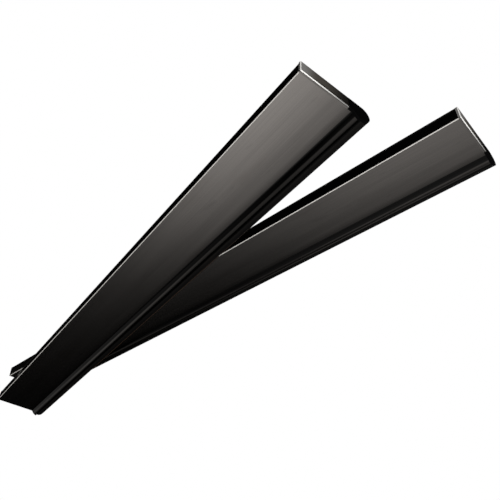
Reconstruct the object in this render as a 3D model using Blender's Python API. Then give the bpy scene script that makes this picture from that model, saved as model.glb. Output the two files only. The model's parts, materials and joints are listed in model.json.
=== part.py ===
"""A pair of snap-open clamp rails, one lying flat and the other resting across it.

Each rail has a back profile and a front leaf that are hinged on a round bead.
Every rail is drawn in its own frame: X along the length, Y across from the
clamping lip to the bead, Z up from the flat front face.
"""

import math

import bpy
from mathutils import Matrix, Vector

MM = 0.001

# Whole rail.
RAIL_LENGTH = 457.0 * MM
WALL = 1.2 * MM
GAP = 0.3 * MM

# Hinge bead: the leaf's round bead turns inside the back profile's open shell.
PIVOT = Vector((41.7, -3.3)) * MM
BEAD_RADIUS = 4.2 * MM
BORE_RADIUS = 2.0 * MM
SHELL_INNER = 4.5 * MM
SHELL_OUTER = 5.6 * MM
SHELL_TOP_DEG = 95.0
SHELL_LIP_DEG = -150.0

# Ridge of the leaf, which laps over the shell and hides the hinge.
RIDGE_INNER = 5.9 * MM
RIDGE_OUTER = 6.85 * MM
RIDGE_LEFT_DEG = 147.0
RIDGE_TIP_DEG = 99.0
CHANNEL_END_DEG = 158.0
NECK_DEG = 178.0

# Front leaf.
LIP_DEPTH = 6.8 * MM
FOOT_TOP = -5.2 * MM
FOOT_BOTTOM = -6.1 * MM
FOOT_WIDTH = 4.5 * MM
NECK_FILLET = 2.7 * MM
EDGE_ROUND = 0.35 * MM

# Back profile.
BACK_LEFT = 0.3 * MM
BACK_TOP = PIVOT.y - SHELL_INNER
BACK_BOTTOM = PIVOT.y - SHELL_OUTER
THICKNESS = -BACK_BOTTOM
GROOVE_LEFT = 1.2 * MM
GROOVE_RIGHT = 4.8 * MM
GROOVE_DEPTH = 0.55 * MM
RIB_WIDTH = 0.8 * MM
RIB_TOP = -6.6 * MM
RIBS = (7.3 * MM, 20.0 * MM)

# Rubber grips in the clamping jaw.
GRIP_LEFT = 1.5 * MM
GRIP_RIGHT = 4.5 * MM
LEAF_GRIP = (-6.5 * MM, -7.35 * MM)
BACK_GRIP = (-7.65 * MM, -8.05 * MM)

# Hairpin spring clips.
CLIP_COUNT = 4
CLIP_LENGTH = 14.0 * MM
CLIP_THICKNESS = 0.4 * MM
CLIP_FOOT_END = 19.6 * MM
CLIP_FOOT_LEVEL = -7.3 * MM
CLIP_TURN_RADIUS = 0.8 * MM
CLIP_TURN = 9.4 * MM
CLIP_TOUCH = Vector((29.0, -1.75)) * MM
CLIP_TIP = Vector((31.5, -2.5)) * MM

# End plates that close the leaf's hollow, and end caps on the bead.
PLATE_THICKNESS = 1.2 * MM
PLATE_RIGHT = 32.2 * MM
PLATE_BOTTOM = -8.8 * MM
CAP_THICKNESS = 1.2 * MM
CAP_LEFT = 32.9 * MM
STUB_RADIUS = 1.7 * MM
STUB_LENGTH = 10.0 * MM

# How the upper rail lies on the lower one, seen from the lower rail's near corner.
CROSSING_DEG = 11.3
UPPER_CORNER = Vector((44.7, -77.9)) * MM
REST_GAP = 0.4 * MM
HEADING_DEG = -CROSSING_DEG / 2

COLLECTION = "snap_clamp_rail_pair"
HELPERS = "snap_clamp_rail_pair_cutters"


def clear_scene():
    for obj in list(bpy.data.objects):
        bpy.data.objects.remove(obj, do_unlink=True)


def new_collection(name, helper=False):
    found = bpy.data.collections.new(name)
    bpy.context.scene.collection.children.link(found)
    found.hide_render = helper
    return found


def paint(obj, colour, metallic, roughness):
    material = bpy.data.materials.new(obj.name)
    material.use_nodes = True
    shader = material.node_tree.nodes["Principled BSDF"]
    shader.inputs["Base Color"].default_value = (*colour, 1.0)
    shader.inputs["Metallic"].default_value = metallic
    shader.inputs["Roughness"].default_value = roughness
    material.diffuse_color = (*colour, 1.0)
    obj.data.materials.clear()
    obj.data.materials.append(material)


def anodised(obj):
    paint(obj, (0.045, 0.044, 0.043), 0.9, 0.38)


def aluminium(obj):
    paint(obj, (0.5, 0.49, 0.47), 1.0, 0.3)


def rubber(obj):
    paint(obj, (0.012, 0.012, 0.012), 0.0, 0.75)


def spring_steel(obj):
    paint(obj, (0.46, 0.46, 0.47), 1.0, 0.3)


def black_plastic(obj):
    paint(obj, (0.008, 0.008, 0.009), 0.0, 0.45)


def arc(centre, radius, start_deg, end_deg, step_deg=6.0):
    steps = max(2, round(abs(end_deg - start_deg) / step_deg))
    points = []
    for index in range(steps + 1):
        angle = math.radians(start_deg + (end_deg - start_deg) * index / steps)
        points.append(centre + radius * Vector((math.cos(angle), math.sin(angle))))
    return points


def rounded(before, corner, after, radius, steps=4):
    """Points of a small arc that replaces one corner of an outline."""
    to_before = (before - corner).normalized()
    to_after = (after - corner).normalized()
    half = to_before.angle(to_after) / 2
    centre = corner + (to_before + to_after).normalized() * radius / math.sin(half)
    first = corner + to_before * radius / math.tan(half) - centre
    last = corner + to_after * radius / math.tan(half) - centre
    sweep = first.angle_signed(last)
    points = []
    for index in range(steps + 1):
        turn = Matrix.Rotation(-sweep * index / steps, 2)
        points.append(centre + turn @ first)
    return points


def soften(before, corners, after, sharp=()):
    """The run of corners between two neighbours, rounded off except where sharp."""
    run = [before, *corners, after]
    points = []
    for index, corner in enumerate(corners):
        if index in sharp:
            points.append(corner)
        else:
            points += rounded(run[index], corner, run[index + 2], EDGE_ROUND)
    return points


def ridge_flank():
    """Left foot of the concave rise and its points up to the ridge."""
    top = PIVOT + RIDGE_OUTER * Vector(
        (math.cos(math.radians(RIDGE_LEFT_DEG)), math.sin(math.radians(RIDGE_LEFT_DEG)))
    )
    slope = math.radians(RIDGE_LEFT_DEG - 90.0)
    radius = top.y / (1.0 - math.cos(slope))
    foot = top.x - radius * math.sin(slope)
    return arc(Vector((foot, radius)), radius, -90.0, -90.0 + math.degrees(slope))


def leaf_outline():
    flank = ridge_flank()
    bead = arc(PIVOT, BEAD_RADIUS, NECK_DEG, CHANNEL_END_DEG + 360.0)
    lip = [
        Vector((0.0, 0.0)),
        Vector((0.0, -LIP_DEPTH)),
        Vector((WALL, -LIP_DEPTH)),
        Vector((WALL, FOOT_BOTTOM)),
        Vector((FOOT_WIDTH, FOOT_BOTTOM)),
        Vector((FOOT_WIDTH, FOOT_TOP)),
        Vector((WALL, FOOT_TOP)),
        Vector((WALL, -WALL)),
        Vector((bead[0].x - NECK_FILLET, -WALL)),
    ]
    outline = soften(flank[0], lip, bead[0], sharp=(2, 3, 8))
    outline += bead
    outline += arc(PIVOT, RIDGE_INNER, CHANNEL_END_DEG, RIDGE_TIP_DEG)
    outline += arc(PIVOT, RIDGE_OUTER, RIDGE_TIP_DEG, RIDGE_LEFT_DEG)
    outline += reversed(flank[:-1])
    return outline


def back_outline():
    outline = [
        Vector((GROOVE_RIGHT, BACK_TOP)),
        Vector((GROOVE_RIGHT, BACK_TOP - GROOVE_DEPTH)),
        Vector((GROOVE_LEFT, BACK_TOP - GROOVE_DEPTH)),
        Vector((GROOVE_LEFT, BACK_TOP)),
    ]
    shell = arc(PIVOT, SHELL_OUTER, -90.0, SHELL_TOP_DEG)
    edge = [Vector((BACK_LEFT, BACK_TOP)), Vector((BACK_LEFT, BACK_BOTTOM))]
    outline += soften(outline[-1], edge, shell[0])
    outline += shell
    outline += arc(PIVOT, SHELL_INNER, SHELL_TOP_DEG, SHELL_LIP_DEG)
    meet_deg = -180.0 + math.degrees(math.asin((PIVOT.y - BACK_TOP) / SHELL_OUTER))
    outline += arc(PIVOT, SHELL_OUTER, SHELL_LIP_DEG, meet_deg)
    for left in reversed(RIBS):
        outline += [
            Vector((left + RIB_WIDTH, BACK_TOP)),
            Vector((left + RIB_WIDTH, RIB_TOP)),
            Vector((left, RIB_TOP)),
            Vector((left, BACK_TOP)),
        ]
    return outline


def strip_outline(left, right, top, bottom):
    return [
        Vector((left, top)),
        Vector((left, bottom)),
        Vector((right, bottom)),
        Vector((right, top)),
    ]


def clip_outline():
    """Both sides of the bent strip, offset from its middle line."""
    turn = Vector((CLIP_TURN, CLIP_FOOT_LEVEL + CLIP_TURN_RADIUS))
    path = [Vector((CLIP_FOOT_END, CLIP_FOOT_LEVEL))]
    path += arc(turn, CLIP_TURN_RADIUS, 270.0, 90.0, 15.0)
    path += [CLIP_TOUCH - Vector((1.0, 0.08)) * MM, CLIP_TOUCH, CLIP_TIP]
    sides = ([], [])
    for index, point in enumerate(path):
        ahead = path[min(index + 1, len(path) - 1)]
        behind = path[max(index - 1, 0)]
        along = (ahead - behind).normalized()
        across = Vector((-along.y, along.x)) * CLIP_THICKNESS / 2
        sides[0].append(point + across)
        sides[1].append(point - across)
    return sides[0] + sides[1][::-1]


def plate_outline():
    right_top = Vector((PLATE_RIGHT, 0.0))
    right_bottom = Vector((PLATE_RIGHT, PLATE_BOTTOM))
    left = [Vector((0.0, 0.0)), Vector((0.0, PLATE_BOTTOM))]
    return [right_top, *soften(right_top, left, right_bottom), right_bottom]


def cap_outline():
    outline = [Vector((CAP_LEFT, 0.0))]
    outline += [point for point in ridge_flank()[:-1] if point.x > CAP_LEFT]
    outline += arc(PIVOT, RIDGE_OUTER, RIDGE_LEFT_DEG, RIDGE_TIP_DEG)
    outline += arc(PIVOT, SHELL_OUTER, SHELL_TOP_DEG, -90.0)
    outline.append(Vector((CAP_LEFT, BACK_BOTTOM)))
    return outline


def section_curve(name, outlines, length):
    """A prism along the rail: the outlines are filled and extruded both ways."""
    data = bpy.data.curves.new(name, "CURVE")
    data.dimensions = "2D"
    data.fill_mode = "BOTH"
    data.extrude = length / 2
    for outline in outlines:
        spline = data.splines.new("POLY")
        spline.points.add(len(outline) - 1)
        for point, place in zip(spline.points, outline):
            point.co = (place.x, place.y, 0.0, 1.0)
        spline.use_cyclic_u = True
    return bpy.data.objects.new(name, data)


def place_section(obj, parent, middle, offset=Vector((0.0, 0.0))):
    """Stands a section upright: outline x across the rail, outline y upwards."""
    obj.parent = parent
    obj.rotation_euler = (math.pi / 2, 0.0, math.pi / 2)
    obj.location = (middle, -offset.x, -offset.y)


def as_mesh(obj):
    """The same object as a closed mesh, for a Boolean."""
    bpy.context.scene.collection.objects.link(obj)
    graph = bpy.context.evaluated_depsgraph_get()
    mesh = bpy.data.meshes.new_from_object(obj.evaluated_get(graph))
    name = obj.name
    bpy.data.objects.remove(obj, do_unlink=True)
    solid = bpy.data.objects.new(name, mesh)
    solid.name = name
    weld = solid.modifiers.new("weld", "WELD")
    weld.merge_threshold = 0.00001
    return solid


def add_empty(name, parts, parent=None):
    empty = bpy.data.objects.new(name, None)
    empty.empty_display_size = 0.02
    empty.parent = parent
    parts.objects.link(empty)
    return empty


def add_end_plate(name, parts, hinge, end):
    """Plate over the leaf's cut end; end is 0 (near) or 1 (far)."""
    outward = 2 * end - 1
    middle = end * RAIL_LENGTH + outward * (GAP + PLATE_THICKNESS / 2)
    plate = section_curve(name, [plate_outline()], PLATE_THICKNESS)
    parts.objects.link(plate)
    place_section(plate, hinge, middle, PIVOT)
    aluminium(plate)


def add_cap(name, parts, helpers, frame, end):
    """End cap with a stub that fills the bore; end is 0 (near) or 1 (far)."""
    outward = 2 * end - 1
    face = end * RAIL_LENGTH + outward * GAP
    cap = as_mesh(section_curve(name, [cap_outline()], CAP_THICKNESS))
    parts.objects.link(cap)
    place_section(cap, frame, face + outward * CAP_THICKNESS / 2)
    reach = STUB_LENGTH + GAP + CAP_THICKNESS / 2
    bpy.ops.mesh.primitive_cylinder_add(vertices=32, radius=STUB_RADIUS, depth=reach)
    stub = bpy.context.object
    stub.name = name + "_stub"
    for owner in list(stub.users_collection):
        owner.objects.unlink(stub)
    helpers.objects.link(stub)
    stub.hide_render = True
    stub.display_type = "WIRE"
    stub.parent = frame
    stub.rotation_euler = (0.0, math.pi / 2, 0.0)
    stub.location = (face + outward * CAP_THICKNESS / 2 - outward * reach / 2, PIVOT.x, PIVOT.y)
    union = cap.modifiers.new("stub", "BOOLEAN")
    union.operation = "UNION"
    union.solver = "EXACT"
    union.object = stub
    black_plastic(cap)


def build_rail(side, parts, helpers, frame):
    hinge = add_empty(side + "_hinge_axis", parts, frame)
    hinge.location = (0.0, PIVOT.x, PIVOT.y)
    middle = RAIL_LENGTH / 2

    back = section_curve(side + "_back_profile", [back_outline()], RAIL_LENGTH)
    parts.objects.link(back)
    place_section(back, frame, middle)
    anodised(back)

    bore = arc(PIVOT, BORE_RADIUS, 0.0, 350.0, 10.0)
    leaf = section_curve(side + "_front_leaf", [leaf_outline(), bore], RAIL_LENGTH)
    parts.objects.link(leaf)
    place_section(leaf, hinge, middle, PIVOT)
    anodised(leaf)

    grips = (
        ("_leaf_grip_strip", LEAF_GRIP, hinge, PIVOT),
        ("_back_grip_strip", BACK_GRIP, frame, Vector((0.0, 0.0))),
    )
    for suffix, (top, bottom), parent, offset in grips:
        outline = strip_outline(GRIP_LEFT, GRIP_RIGHT, top, bottom)
        strip = section_curve(side + suffix, [outline], RAIL_LENGTH - 2 * MM)
        parts.objects.link(strip)
        place_section(strip, parent, middle, offset)
        rubber(strip)

    for index in range(CLIP_COUNT):
        name = f"{side}_spring_clip_{index + 1}"
        clip = section_curve(name, [clip_outline()], CLIP_LENGTH)
        parts.objects.link(clip)
        place_section(clip, frame, RAIL_LENGTH * (index + 0.5) / CLIP_COUNT)
        spring_steel(clip)

    for end, place in enumerate(("near", "far")):
        add_end_plate(f"{side}_leaf_end_plate_{place}", parts, hinge, end)
        add_cap(f"{side}_bead_cap_{place}", parts, helpers, frame, end)


def lean_of_upper_rail():
    """Roll that lays the upper rail from its near corner up on to the lower rail's lip."""
    return math.atan2(THICKNESS, -UPPER_CORNER.y)


def centre_on_floor(parts, pair):
    """Moves the pair so that the middle of its footprint is at the origin."""
    bpy.context.view_layer.update()
    graph = bpy.context.evaluated_depsgraph_get()
    places = []
    for obj in parts.objects:
        if obj.type == "EMPTY":
            continue
        solid = obj.evaluated_get(graph)
        mesh = solid.to_mesh()
        places += [obj.matrix_world @ vertex.co for vertex in mesh.vertices]
        solid.to_mesh_clear()
    for axis in range(2):
        low = min(place[axis] for place in places)
        high = max(place[axis] for place in places)
        pair.location[axis] -= (low + high) / 2
    pair.location.z -= min(place.z for place in places)
    bpy.context.view_layer.update()


def main():
    clear_scene()
    parts = new_collection(COLLECTION)
    helpers = new_collection(HELPERS, helper=True)
    pair = add_empty("rail_pair", parts)
    pair.rotation_euler.z = math.radians(HEADING_DEG)

    lower = add_empty("lower_rail", parts, pair)
    lower.location = (0.0, 0.0, THICKNESS)
    build_rail("lower", parts, helpers, lower)

    upper = add_empty("upper_rail", parts, pair)
    roll = Matrix.Rotation(lean_of_upper_rail(), 4, "X")
    heading = Matrix.Rotation(math.radians(CROSSING_DEG), 4, "Z")
    corner = Matrix.Translation((UPPER_CORNER.x, UPPER_CORNER.y, REST_GAP))
    upper.matrix_local = corner @ roll @ heading @ Matrix.Translation((0.0, 0.0, THICKNESS))
    build_rail("upper", parts, helpers, upper)

    centre_on_floor(parts, pair)


main()
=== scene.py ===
"""Looks of the crossed snap clamp rails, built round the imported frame."""
import json
import math

import bmesh
import bpy
from mathutils import Matrix, Vector


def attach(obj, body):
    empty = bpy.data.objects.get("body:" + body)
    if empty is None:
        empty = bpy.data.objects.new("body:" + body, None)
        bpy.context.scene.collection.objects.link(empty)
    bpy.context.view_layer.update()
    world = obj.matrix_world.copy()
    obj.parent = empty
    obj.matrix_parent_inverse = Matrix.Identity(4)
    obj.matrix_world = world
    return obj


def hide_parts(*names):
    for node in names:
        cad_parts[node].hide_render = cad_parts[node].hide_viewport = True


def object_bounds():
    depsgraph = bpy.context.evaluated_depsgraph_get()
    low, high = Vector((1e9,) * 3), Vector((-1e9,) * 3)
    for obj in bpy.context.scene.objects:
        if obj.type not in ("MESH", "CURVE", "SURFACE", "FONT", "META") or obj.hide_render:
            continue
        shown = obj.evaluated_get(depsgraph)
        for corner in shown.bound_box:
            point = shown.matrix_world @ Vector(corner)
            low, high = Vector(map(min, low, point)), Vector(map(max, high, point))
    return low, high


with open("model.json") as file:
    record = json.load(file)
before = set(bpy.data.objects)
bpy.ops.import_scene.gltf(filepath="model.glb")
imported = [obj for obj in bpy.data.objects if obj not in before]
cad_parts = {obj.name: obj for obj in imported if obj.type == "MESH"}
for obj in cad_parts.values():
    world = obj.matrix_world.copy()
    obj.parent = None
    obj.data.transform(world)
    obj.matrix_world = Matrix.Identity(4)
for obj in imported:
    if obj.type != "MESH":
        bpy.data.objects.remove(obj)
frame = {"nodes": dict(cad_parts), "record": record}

MM = 0.001
CAD_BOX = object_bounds()

# A rail's own frame: X along it from the near end, Y across from the lip to the bead, Z up from
# the face. These sizes are the CAD's.
PIVOT = Vector((0.0, 41.7, -3.3)) * MM
THICKNESS = 8.9 * MM
RAIL_LENGTH = 457.0 * MM
GAP = 0.3 * MM
PLATE_THICKNESS = 1.2 * MM
PLATE_RIGHT = 32.2 * MM
CAP_LEFT = 32.9 * MM

# Where the upper rail's near corner meets the floor, in the lower rail's frame.
UPPER_CORNER_Y = -77.9 * MM

# Where the looks of the leaf change: the groove before the ridge and the ridge's crest, where shade
# is painted, and the lip's worn edge, whose pale metal also paints its highlight.
GROOVE_LEFT = 34.9 * MM
GROOVE_RIGHT = GROOVE_LEFT + 2.5 * MM
CREST_Y = 40.6 * MM
WORN_HIGHLIGHT_REACH = 0.40 * MM
FACE_ROUGHNESS = 0.16

# Depths of relief in the surfaces.
FINE = 0.02 * MM
COARSE = 0.04 * MM

# Softened edges.
SHARP_ANGLE = math.radians(35.0)
FLAT_ANGLE = math.radians(0.6)
WELD = 0.002 * MM
EDGE_SEGMENTS = 2

# Camera in the lower rail's frame, but with Z up from the floor. The photo has the near ends at the
# top, so the camera is turned over.
CAMERA_AT = Vector((-36.7, -210.1, 233.5)) * MM
CAMERA_FORWARD = Vector((0.5208, 0.5972, -0.6100))
CAMERA_DOWN = Vector((0.4154, 0.4469, 0.7923))
CAMERA_LENS = 38.76
SENSOR_WIDTH = 36.0

# Key light in the lower rail's frame, in metres.
KEY_AT = Vector((-0.9, -0.5, 1.0))
KEY_AIM = Vector((0.1, 0.0, 0.0))
KEY_SIDE = 0.7
KEY_WATTS = 24.0

# Floor, in metres.
FLOOR_HALF_SIDE = 6.0
FLOOR_DROP = 0.2 * MM

# Brightness of the overhead glow, by the cosine of the angle from its middle, and of the darkest
# parts of the studio.
GLOW_STOPS = (
    (0.60, 0.0),
    (0.70, 0.001),
    (0.76, 0.004),
    (0.82, 0.012),
    (0.86, 0.026),
    (0.90, 0.074),
    (0.94, 0.255),
    (0.97, 0.62),
    (1.0, 0.91),
)
DARKEST = 0.0018

# Each piece of a rail: name, body, slot, width of its softened edges in mm, and look.
PIECES = (
    ("front_leaf", "leaf", "black_anodised_aluminium", 0.2, "anodised"),
    ("back_profile", "back", "black_anodised_aluminium", 0.2, "matt"),
    ("leaf_end_plate_near", "leaf", "bare_aluminium", 0.3, "plate"),
    ("leaf_end_plate_far", "leaf", "bare_aluminium", 0.3, "plate"),
    ("bead_cap_near", "back", "black_plastic", 0.25, "plastic"),
    ("bead_cap_far", "back", "black_plastic", 0.25, "plastic"),
    ("leaf_grip_strip", "leaf", "black_rubber", 0.12, "rubber"),
    ("back_grip_strip", "back", "black_rubber", 0.1, "rubber"),
    ("spring_clip_1", "back", "spring_steel", 0.1, "steel"),
    ("spring_clip_2", "back", "spring_steel", 0.1, "steel"),
    ("spring_clip_3", "back", "spring_steel", 0.1, "steel"),
    ("spring_clip_4", "back", "spring_steel", 0.1, "steel"),
)


# ---------------------------------------------------------------- where the rails lie

def joint(name):
    for found in frame["record"]["behaviour"]["joints"]:
        if found["name"] == name:
            return found
    raise KeyError(name)


def frame_from(along, up, pivot):
    """Matrix of a rail's own frame, with its origin on the face at the near lip."""
    x = Vector(along).normalized()
    y = Vector(up).cross(x).normalized()
    z = x.cross(y)
    axes = Matrix((x, y, z)).transposed()
    origin = Vector(pivot) - axes @ PIVOT
    return Matrix.Translation(origin) @ axes.to_4x4()


def rail_frames():
    """Both rails' frames, from their hinges. The upper one leans from the floor to the lower lip."""
    lower = joint("lower_leaf_hinge")
    upper = joint("upper_leaf_hinge")
    lower_along = -Vector(lower["axis"])
    floor_up = Vector((0.0, 0.0, 1.0))
    lean = math.atan2(THICKNESS, -UPPER_CORNER_Y)
    upper_up = Matrix.Rotation(lean, 3, lower_along) @ floor_up
    return {
        "lower": frame_from(lower_along, floor_up, lower["pos_m"]),
        "upper": frame_from(-Vector(upper["axis"]), upper_up, upper["pos_m"]),
    }


RAILS = rail_frames()


def add_camera():
    base = RAILS["lower"] @ Matrix.Translation((0.0, 0.0, -THICKNESS))
    turn = base.to_3x3()
    back = -(turn @ CAMERA_FORWARD).normalized()
    up = -(turn @ CAMERA_DOWN)
    right = up.cross(back).normalized()
    up = back.cross(right)
    data = bpy.data.cameras.new("camera")
    data.lens = CAMERA_LENS
    data.sensor_width = SENSOR_WIDTH
    data.clip_start = 10.0 * MM
    camera = bpy.data.objects.new("camera", data)
    axes = Matrix((right, up, back)).transposed().to_4x4()
    camera.matrix_world = Matrix.Translation(base @ CAMERA_AT) @ axes
    bpy.context.scene.collection.objects.link(camera)
    bpy.context.scene.camera = camera


# ---------------------------------------------------------------- node helpers

def colour(red, green, blue):
    return (red, green, blue, 1.0)


def grey(level):
    return colour(level, level, level)


class Nodes:
    """Short calls for building the node tree of one material or world."""

    def __init__(self, owner):
        owner.use_nodes = True
        self.owner = owner
        self.tree = owner.node_tree
        self.tree.nodes.clear()

    def add(self, kind, inputs=None, **settings):
        node = self.tree.nodes.new(kind)
        for name, value in settings.items():
            setattr(node, name, value)
        for name, value in (inputs or {}).items():
            self.put(node.inputs[name], value)
        return node

    def put(self, socket, value):
        if isinstance(value, bpy.types.NodeSocket):
            self.tree.links.new(value, socket)
        else:
            socket.default_value = value

    def math(self, operation, first, second=0.0, third=0.0):
        node = self.add("ShaderNodeMath", operation=operation)
        for socket, value in zip(node.inputs, (first, second, third)):
            self.put(socket, value)
        return node.outputs[0]

    def product(self, result, *others):
        for other in others:
            result = self.math("MULTIPLY", result, other)
        return result

    def total(self, result, *others):
        for other in others:
            result = self.math("ADD", result, other)
        return result

    def remap(self, value, low, high, to_low=0.0, to_high=1.0, smooth=True):
        node = self.add("ShaderNodeMapRange")
        node.interpolation_type = "SMOOTHSTEP" if smooth else "LINEAR"
        for name, number in (
            ("Value", value),
            ("From Min", low),
            ("From Max", high),
            ("To Min", to_low),
            ("To Max", to_high),
        ):
            self.put(node.inputs[name], number)
        return node.outputs["Result"]

    def rise(self, value, low, high, most=1.0):
        """Smoothly from 0 at low to most at high."""
        return self.remap(value, low, high, 0.0, most)

    def fall(self, value, low, high):
        """Smoothly from 1 at low to 0 at high."""
        return self.remap(value, low, high, 1.0, 0.0)

    def mix(self, share, first, second, blend="MIX"):
        node = self.add("ShaderNodeMix", data_type="RGBA", blend_type=blend)
        self.put(node.inputs["Factor"], share)
        self.put(node.inputs["A"], first)
        self.put(node.inputs["B"], second)
        return node.outputs["Result"]

    def ramp(self, value, stops):
        """Grey level along a smooth curve, from pairs of place and level."""
        node = self.add("ShaderNodeValToRGB", {"Fac": value})
        node.color_ramp.interpolation = "B_SPLINE"
        elements = node.color_ramp.elements
        while len(elements) > 1:
            elements.remove(elements[0])
        elements[0].position = stops[0][0]
        elements[0].color = grey(stops[0][1])
        for place, level in stops[1:]:
            elements.new(place).color = grey(level)
        return node.outputs["Color"]

    def point(self):
        """The point in the rail's own frame."""
        return self.add("ShaderNodeTexCoord").outputs["Object"]

    def split(self, point):
        """x, y and z of a point."""
        parts = self.add("ShaderNodeSeparateXYZ", {"Vector": point})
        return parts.outputs["X"], parts.outputs["Y"], parts.outputs["Z"]

    def noise(self, point, scale, stretch=(1.0, 1.0, 1.0), detail=2.0, roughness=0.5):
        placed = self.add("ShaderNodeMapping", {"Vector": point, "Scale": stretch})
        return self.add(
            "ShaderNodeTexNoise",
            {
                "Vector": placed.outputs["Vector"],
                "Scale": scale,
                "Detail": detail,
                "Roughness": roughness,
            },
        ).outputs["Fac"]

    def surface(self, shader):
        """Ends a material with its shader, and gives the material back."""
        out = self.add("ShaderNodeOutputMaterial")
        self.tree.links.new(shader.outputs[0], out.inputs["Surface"])
        return self.owner

    def finish(self, height, strength, depth, inputs):
        """Ends a material with a principled surface in fine relief, and gives the material back."""
        relief = {"Strength": strength, "Distance": depth, "Height": height}
        bump = self.add("ShaderNodeBump", relief)
        shader = self.add("ShaderNodeBsdfPrincipled", inputs)
        self.put(shader.inputs["Normal"], bump.outputs["Normal"])
        return self.surface(shader)


def new_material(name):
    return Nodes(bpy.data.materials.new(name))


# ---------------------------------------------------------------- materials

def brushed(n, point):
    """Fine streaks, fine and broad ones together, and slow blotches, all lengthwise."""
    fine = n.noise(point, 1.0, stretch=(14.0, 3200.0, 3200.0), detail=3.0)
    broad = n.noise(point, 1.0, stretch=(2.5, 90.0, 90.0), detail=2.0)
    blotch = n.noise(point, 40.0, stretch=(0.4, 1.0, 1.0), detail=4.0)
    streak = n.math("MULTIPLY_ADD", broad, 0.5, n.product(fine, 0.5))
    return fine, n.remap(streak, 0.38, 0.62, smooth=False), blotch


def face_tone(n, point, streak, blotch):
    """Warm grey streaks and darker stains, with painted shade darkening the face towards the bead
    and the far end, and the ridge towards the far end.
    """
    x, y, _ = n.split(point)
    tone = n.mix(streak, colour(0.258, 0.246, 0.237), colour(0.349, 0.332, 0.319))
    tone = n.mix(n.rise(blotch, 0.50, 0.75, 0.45), tone, colour(0.22, 0.20, 0.188))
    scuff = n.noise(point, 90.0, stretch=(0.25, 1.0, 1.0), detail=6.0, roughness=0.65)
    tone = n.mix(n.rise(scuff, 0.56, 0.70, 0.35), tone, colour(0.17, 0.165, 0.16))
    # Painted shade: the face darkens towards the bead and the far end, and the ridge towards the far
    # end.
    on_ridge = n.math("GREATER_THAN", y, GROOVE_RIGHT)
    painted_ridge_shade = n.product(on_ridge, n.rise(x, 300.0 * MM, RAIL_LENGTH, 0.4))
    painted_falloff = n.product(
        n.remap(y, 1.0 * MM, 31.0 * MM, 1.10, 0.66, smooth=False),
        n.remap(y, 29.0 * MM, GROOVE_LEFT, 1.0, 0.55),
        n.remap(x, 250.0 * MM, RAIL_LENGTH, 1.0, 0.65),
        n.math("SUBTRACT", 1.0, painted_ridge_shade),
    )
    return n.mix(1.0, tone, painted_falloff, "MULTIPLY")


def shaded_ridge(n, tone, y):
    """Painted shade: darkens the groove before the ridge, and the ridge from just before its crest.
    """
    groove = n.product(
        n.rise(y, GROOVE_LEFT - 0.5 * MM, GROOVE_LEFT),
        n.fall(y, GROOVE_RIGHT - 0.3 * MM, GROOVE_RIGHT + 0.3 * MM),
    )
    tone = n.mix(groove, tone, grey(0.018))
    return n.mix(n.rise(y, CREST_Y - 1.7 * MM, CREST_Y - 1.0 * MM), tone, grey(0.008))


def worn_edge_highlight(n, point, y, z):
    """1 along the edge between face and lip wall, within a ragged limit: worn pale metal that also
    paints the edge's highlight.
    """
    reach = n.math("SQRT", n.total(n.product(y, y), n.product(z, z)))
    ragged = n.noise(point, 500.0, stretch=(0.1, 1.0, 1.0), detail=2.0)
    limit = n.math("MULTIPLY_ADD", ragged, 0.05 * MM, WORN_HIGHLIGHT_REACH)
    return n.fall(n.math("SUBTRACT", reach, limit), -0.03 * MM, 0.03 * MM)


def anodised():
    """Black anodised aluminium, brushed lengthwise, with painted shade on its walls and groove, and
    worn pale along the lip's edge, which also paints that edge's highlight.
    """
    n = new_material("black_anodised_aluminium_brushed")
    point = n.point()
    _, y, z = n.split(point)
    fine, streak, blotch = brushed(n, point)
    tone = shaded_ridge(n, face_tone(n, point, streak, blotch), y)
    # Painted shade: the lip wall and the bead below the face are darkened.
    painted_shade_below_face = n.fall(z, -0.9 * MM, -0.5 * MM)
    tone = n.mix(n.product(painted_shade_below_face, 0.8), tone, colour(0.03, 0.03, 0.032))
    # Pale worn metal along the lip's edge, partly a painted highlight.
    bare_edge_highlight = worn_edge_highlight(n, point, y, z)
    tone = n.mix(bare_edge_highlight, tone, colour(0.80, 0.78, 0.74))
    rough = n.remap(fine, 0.3, 0.7, FACE_ROUGHNESS, FACE_ROUGHNESS + 0.05, smooth=False)
    inputs = {
        "Base Color": tone,
        "Metallic": n.math("SUBTRACT", 1.0, n.product(bare_edge_highlight, 0.75)),
        "Roughness": n.math("MULTIPLY_ADD", bare_edge_highlight, 0.25, rough),
    }
    return n.finish(fine, 0.12, FINE, inputs)


def anodised_matt():
    """Black anodising on an unbrushed extrusion, with a brown band painted along the shell as a
    highlight.
    """
    n = new_material("black_anodised_aluminium_matt")
    point = n.point()
    x, y, z = n.split(point)
    fine, streak, blotch = brushed(n, point)
    tone = n.mix(streak, colour(0.0025, 0.0025, 0.0026), colour(0.0055, 0.0052, 0.0050))
    tone = n.mix(n.rise(blotch, 0.5, 0.8, 0.6), tone, colour(0.009, 0.0075, 0.006))
    across = n.math("SUBTRACT", y, PIVOT.y)
    round_bead = n.math("ARCTAN2", n.math("SUBTRACT", z, PIVOT.z), across)
    # Painted highlight: a brown band along the shell's upper side, from 90 mm on.
    painted_shell_highlight = n.product(
        n.rise(round_bead, 0.56, 0.62),
        n.fall(round_bead, 0.80, 0.90),
        n.remap(x, 90.0 * MM, 170.0 * MM, 0.15, 1.0),
    )
    tone = n.mix(painted_shell_highlight, tone, colour(0.060, 0.036, 0.024))
    inputs = {
        "Base Color": tone,
        "Roughness": n.remap(fine, 0.3, 0.7, 0.26, 0.36, smooth=False),
        "Specular IOR Level": 0.12,
        "Specular Tint": colour(1.0, 0.93, 0.86),
    }
    return n.finish(fine, 0.2, FINE, inputs)


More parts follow.
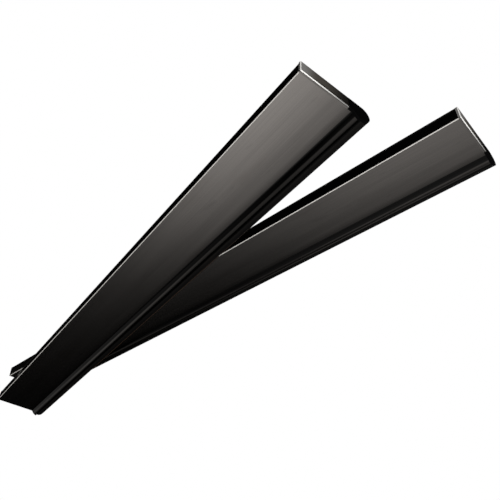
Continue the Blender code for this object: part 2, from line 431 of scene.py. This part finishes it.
def plate_body(n, brush, across, z):
    """Painted light and shade: pale near the lip, darkening towards the bead, with painted shadow up
    under the face.
    """
    # Painted light falling off across the plate, and painted shadow under the face.
    painted_light_falloff = n.fall(across, 12.0 * MM, 34.0 * MM)
    tone = n.mix(painted_light_falloff, colour(0.010, 0.009, 0.008), colour(0.115, 0.104, 0.090))
    painted_light_near_lip = n.fall(across, 2.0 * MM, 13.0 * MM)
    tone = n.mix(painted_light_near_lip, tone, colour(0.33, 0.325, 0.315))
    painted_shadow_under_face = n.product(
        n.rise(z, -2.4 * MM, -0.9 * MM, 0.85),
        n.rise(across, 5.0 * MM, 16.0 * MM),
    )
    tone = n.mix(painted_shadow_under_face, tone, colour(0.012, 0.009, 0.007))
    dark_brush = n.remap(brush, 0.35, 0.65, 0.0, 0.18, smooth=False)
    return n.mix(dark_brush, tone, colour(0.02, 0.018, 0.016))


def end_plate():
    """Brushed plate in painted light and shade, with a painted highlight along its outer rim, and
    painted shade blackening it at the far end.
    """
    n = new_material("end_plate_aluminium")
    point = n.point()
    x, y, z = n.split(point)
    brush = n.noise(point, 1.0, stretch=(3000.0, 60.0, 3000.0), detail=3.0)
    cloud = n.noise(point, 260.0, detail=3.0)
    tone = plate_body(n, brush, n.math("MULTIPLY_ADD", cloud, 3.0 * MM, y), z)
    top = n.rise(z, -0.55 * MM, -0.35 * MM)
    corner = n.fall(y, 0.35 * MM, 0.55 * MM)
    beyond_near = n.product(x, -1.0)
    beyond_far = n.math("SUBTRACT", x, RAIL_LENGTH)
    beyond = n.math("MAXIMUM", beyond_near, beyond_far)
    outside = GAP + PLATE_THICKNESS
    rim = n.rise(beyond, outside - 0.5 * MM, outside - 0.4 * MM)
    edge = n.product(n.math("MAXIMUM", top, corner), rim)
    inner = n.product(top, n.math("SUBTRACT", 1.0, rim))
    clouded_y = n.math("MULTIPLY_ADD", cloud, 4.0 * MM, y)
    # Painted highlight along the outer rim, fading across the plate.
    painted_rim_highlight_fade = n.remap(clouded_y, 6.0 * MM, 36.0 * MM, 1.0, 0.22)
    painted_rim_highlight = n.mix(painted_rim_highlight_fade, grey(0.0), colour(0.98, 0.97, 0.94))
    tone = n.mix(edge, tone, painted_rim_highlight)
    tone = n.mix(inner, tone, colour(0.27, 0.26, 0.25))
    # Painted shade: the far end plates are made near black.
    far_end_painted_shade = n.math("GREATER_THAN", x, RAIL_LENGTH / 2)
    tone = n.mix(n.product(far_end_painted_shade, 0.94), tone, grey(0.004))
    rough = n.remap(brush, 0.3, 0.7, 0.32, 0.45, smooth=False)
    inputs = {
        "Base Color": tone,
        "Metallic": n.total(n.math("MULTIPLY_ADD", edge, -0.25, 0.35), inner),
        "Roughness": n.math("MULTIPLY_ADD", inner, -0.18, rough),
    }
    return n.finish(brush, 0.2, FINE, inputs)


def moulded_black():
    """Black plastic with the fine spark-eroded grain of a mould."""
    n = new_material("black_moulded_plastic")
    point = n.point()
    grain = n.noise(point, 2600.0, detail=3.0, roughness=0.6)
    scuff = n.noise(point, 220.0, stretch=(1.0, 0.4, 1.0), detail=4.0)
    scuffed = n.rise(scuff, 0.55, 0.8)
    inputs = {
        "Base Color": n.mix(scuffed, colour(0.0010, 0.0010, 0.0011), grey(0.003)),
        "Roughness": n.remap(grain, 0.3, 0.7, 0.5, 0.68, smooth=False),
        "Specular IOR Level": 0.08,
    }
    return n.finish(grain, 0.35, COARSE, inputs)


def extruded_rubber():
    """Black rubber strip with faint die lines and dust."""
    n = new_material("black_extruded_rubber")
    point = n.point()
    lines = n.noise(point, 1.0, stretch=(6.0, 2400.0, 2400.0), detail=2.0)
    dust = n.rise(n.noise(point, 500.0, detail=4.0), 0.58, 0.8)
    inputs = {
        "Base Color": n.mix(dust, grey(0.010), colour(0.035, 0.034, 0.032)),
        "Roughness": n.remap(lines, 0.3, 0.7, 0.68, 0.82, smooth=False),
        "Specular IOR Level": 0.35,
    }
    return n.finish(lines, 0.4, COARSE, inputs)


def rolled_steel():
    """Rolled spring strip with faint cross scratches and dull stains."""
    n = new_material("rolled_spring_steel")
    point = n.point()
    roll = n.noise(point, 1.0, stretch=(2600.0, 40.0, 40.0), detail=3.0)
    stain = n.rise(n.noise(point, 300.0, detail=4.0), 0.5, 0.8, 0.5)
    tone = n.mix(roll, colour(0.36, 0.36, 0.37), colour(0.56, 0.56, 0.57))
    inputs = {
        "Base Color": n.mix(stain, tone, colour(0.22, 0.20, 0.19)),
        "Metallic": 1.0,
        "Roughness": n.remap(roll, 0.3, 0.7, 0.26, 0.4, smooth=False),
    }
    return n.finish(roll, 0.25, FINE, inputs)


# ---------------------------------------------------------------- pieces

def is_end_piece(name):
    return "plate" in name or "bead_cap" in name


def softens(name, start, end):
    """Whether an edge of a piece is worn round: not where it butts on a neighbour."""
    if is_end_piece(name):
        near, far = -GAP / 2, RAIL_LENGTH + GAP / 2
        return not any(near - GAP < point.x < far + GAP for point in (start, end))
    if "profile" in name or "front_leaf" in name:
        return abs(start.x - end.x) > 1 * MM
    return True


def close_gap(work):
    """Carries the inner side of an end piece up to the rail, and a cap's left side to the plate."""
    for vertex in work.verts:
        if -1.5 * GAP < vertex.co.x < -0.5 * GAP:
            vertex.co.x = -0.05 * GAP
        if 0.5 * GAP < vertex.co.x - RAIL_LENGTH < 1.5 * GAP:
            vertex.co.x = RAIL_LENGTH + 0.05 * GAP
        if abs(vertex.co.y - CAP_LEFT) < 0.05 * MM:
            vertex.co.y = PLATE_RIGHT + 0.05 * MM


def merge_flats(work):
    """Turns the frame's triangles back into whole faces."""
    bmesh.ops.remove_doubles(work, verts=work.verts, dist=WELD)
    bmesh.ops.dissolve_limit(
        work,
        angle_limit=FLAT_ANGLE,
        use_dissolve_boundaries=False,
        verts=work.verts,
        edges=work.edges,
    )


def mark_edges(work, name):
    """Gives the sharp edges that are worn round a bevel weight, and keeps the others sharp."""
    weight = work.edges.layers.float.new("bevel_weight_edge")
    for face in work.faces:
        face.smooth = True
    for edge in work.edges:
        turned = len(edge.link_faces) == 2 and edge.calc_face_angle() > SHARP_ANGLE
        soft = softens(name, edge.verts[0].co, edge.verts[1].co)
        edge.smooth = soft or not turned
        if turned and soft:
            edge[weight] = 1.0


def refined(node, rail, bevel, material):
    """A smooth, softly edged copy of a CAD node, in its rail's own frame."""
    mesh = frame["nodes"][node].data.copy()
    mesh.transform(rail.inverted())
    work = bmesh.new()
    work.from_mesh(mesh)
    merge_flats(work)
    mark_edges(work, node)
    if is_end_piece(node):
        close_gap(work)
    work.to_mesh(mesh)
    work.free()
    mesh.materials.clear()
    mesh.materials.append(material)
    piece = bpy.data.objects.new(node + "_skin", mesh)
    piece.matrix_world = rail
    bpy.context.scene.collection.objects.link(piece)
    rounding = piece.modifiers.new("edges", "BEVEL")
    rounding.width = bevel
    rounding.segments = EDGE_SEGMENTS
    rounding.limit_method = "WEIGHT"
    rounding.use_clamp_overlap = True
    normals = piece.modifiers.new("normals", "WEIGHTED_NORMAL")
    normals.keep_sharp = True
    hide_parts(node)
    return piece


def dress_rail(side, rail, looks):
    for name, body, slot, bevel, look in PIECES:
        piece = refined(f"{side}_{name}", rail, bevel * MM, looks[look])
        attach(piece, f"{side}_{body}")


# ---------------------------------------------------------------- surroundings

def add_floor():
    """Plain pale floor, bright enough to show no shadow."""
    data = bpy.data.meshes.new("floor")
    work = bmesh.new()
    bmesh.ops.create_grid(work, x_segments=1, y_segments=1, size=FLOOR_HALF_SIDE)
    work.to_mesh(data)
    work.free()
    floor = bpy.data.objects.new("floor", data)
    floor.location = (0.0, 0.0, CAD_BOX[0][2] - FLOOR_DROP)
    bpy.context.scene.collection.objects.link(floor)
    n = new_material("pale_floor")
    glow = n.add("ShaderNodeEmission", {"Color": grey(1.0), "Strength": 1.0})
    data.materials.append(n.surface(glow))
    floor.visible_glossy = False
    floor.visible_diffuse = False
    floor.visible_shadow = False


def studio_level(n):
    """Brightness of the studio in each direction, for the metal to mirror."""
    turn = RAILS["lower"].to_3x3()
    direction = n.add("ShaderNodeTexCoord").outputs["Generated"]

    def facing(x, y, z):
        """Cosine of the angle from a direction in the lower rail's frame."""
        axis = turn @ Vector((x, y, z)).normalized()
        pair = {0: direction, 1: tuple(axis)}
        return n.add("ShaderNodeVectorMath", pair, operation="DOT_PRODUCT").outputs["Value"]

    # Angle from overhead towards the lip side, in radians.
    across = n.math("ARCTAN2", facing(0.0, -1.0, 0.0), facing(0.0, 0.0, 1.0))
    overhead = n.product(
        n.ramp(facing(0.287, 0.35, 0.89), GLOW_STOPS),
        n.fall(across, -0.10, 0.10),
        n.remap(facing(0.0, 1.0, 0.0), 0.26, 0.40, 1.0, 0.5),
    )
    bead_side = n.remap(facing(0.0, 0.72, 0.69), 0.80, 1.0, smooth=False)
    bead_side = n.product(n.math("POWER", bead_side, 3.0), 0.29)
    low_bounce = n.rise(facing(0.0, 1.0, -0.1), 0.72, 0.95, 0.05)
    lip_strip = n.product(n.rise(across, 0.28, 0.40, 0.15), n.fall(across, 0.85, 1.00))
    behind_camera = n.rise(facing(-0.6, -0.72, 0.35), 0.22, 0.55, 0.34)
    beyond_far_ends = n.rise(facing(0.93, -0.35, 0.1), 0.86, 0.97, 0.22)
    beyond_beads = n.rise(facing(-0.35, 0.93, 0.1), 0.86, 0.97, 0.22)
    return n.total(
        overhead,
        bead_side,
        low_bounce,
        lip_strip,
        behind_camera,
        beyond_far_ends,
        beyond_beads,
        DARKEST,
    )


def add_world():
    """Soft studio surround for the pieces to mirror. The camera sees it plain white."""
    world = bpy.data.worlds.new("studio")
    bpy.context.scene.world = world
    n = Nodes(world)
    level = studio_level(n)
    lit = n.add("ShaderNodeBackground", {"Color": colour(1.0, 0.975, 0.95), "Strength": level})
    seen = n.add("ShaderNodeBackground", {"Color": grey(1.0), "Strength": 1.0})
    path = n.add("ShaderNodeLightPath").outputs["Is Camera Ray"]
    both = n.add("ShaderNodeMixShader", {"Fac": path})
    n.tree.links.new(lit.outputs[0], both.inputs[1])
    n.tree.links.new(seen.outputs[0], both.inputs[2])
    out = n.add("ShaderNodeOutputWorld")
    n.tree.links.new(both.outputs[0], out.inputs["Surface"])


def add_key_light():
    """Soft square lamp behind the near ends, which lights their end plates."""
    data = bpy.data.lights.new("key_behind_near_end", "AREA")
    data.shape = "RECTANGLE"
    data.size = KEY_SIDE
    data.size_y = KEY_SIDE
    data.energy = KEY_WATTS
    light = bpy.data.objects.new("key_behind_near_end", data)
    start = RAILS["lower"] @ KEY_AT
    end = RAILS["lower"] @ KEY_AIM
    light.rotation_euler = (end - start).to_track_quat("-Z", "Y").to_euler()
    light.location = start
    light.visible_glossy = False
    bpy.context.scene.collection.objects.link(light)


add_camera()
looks = {
    "anodised": anodised(),
    "matt": anodised_matt(),
    "plate": end_plate(),
    "plastic": moulded_black(),
    "rubber": extruded_rubber(),
    "steel": rolled_steel(),
}
for side, rail in RAILS.items():
    dress_rail(side, rail, looks)
add_floor()
add_world()
add_key_light()

scene = bpy.context.scene
scene.view_settings.view_transform = "Standard"
scene.view_settings.look = "None"
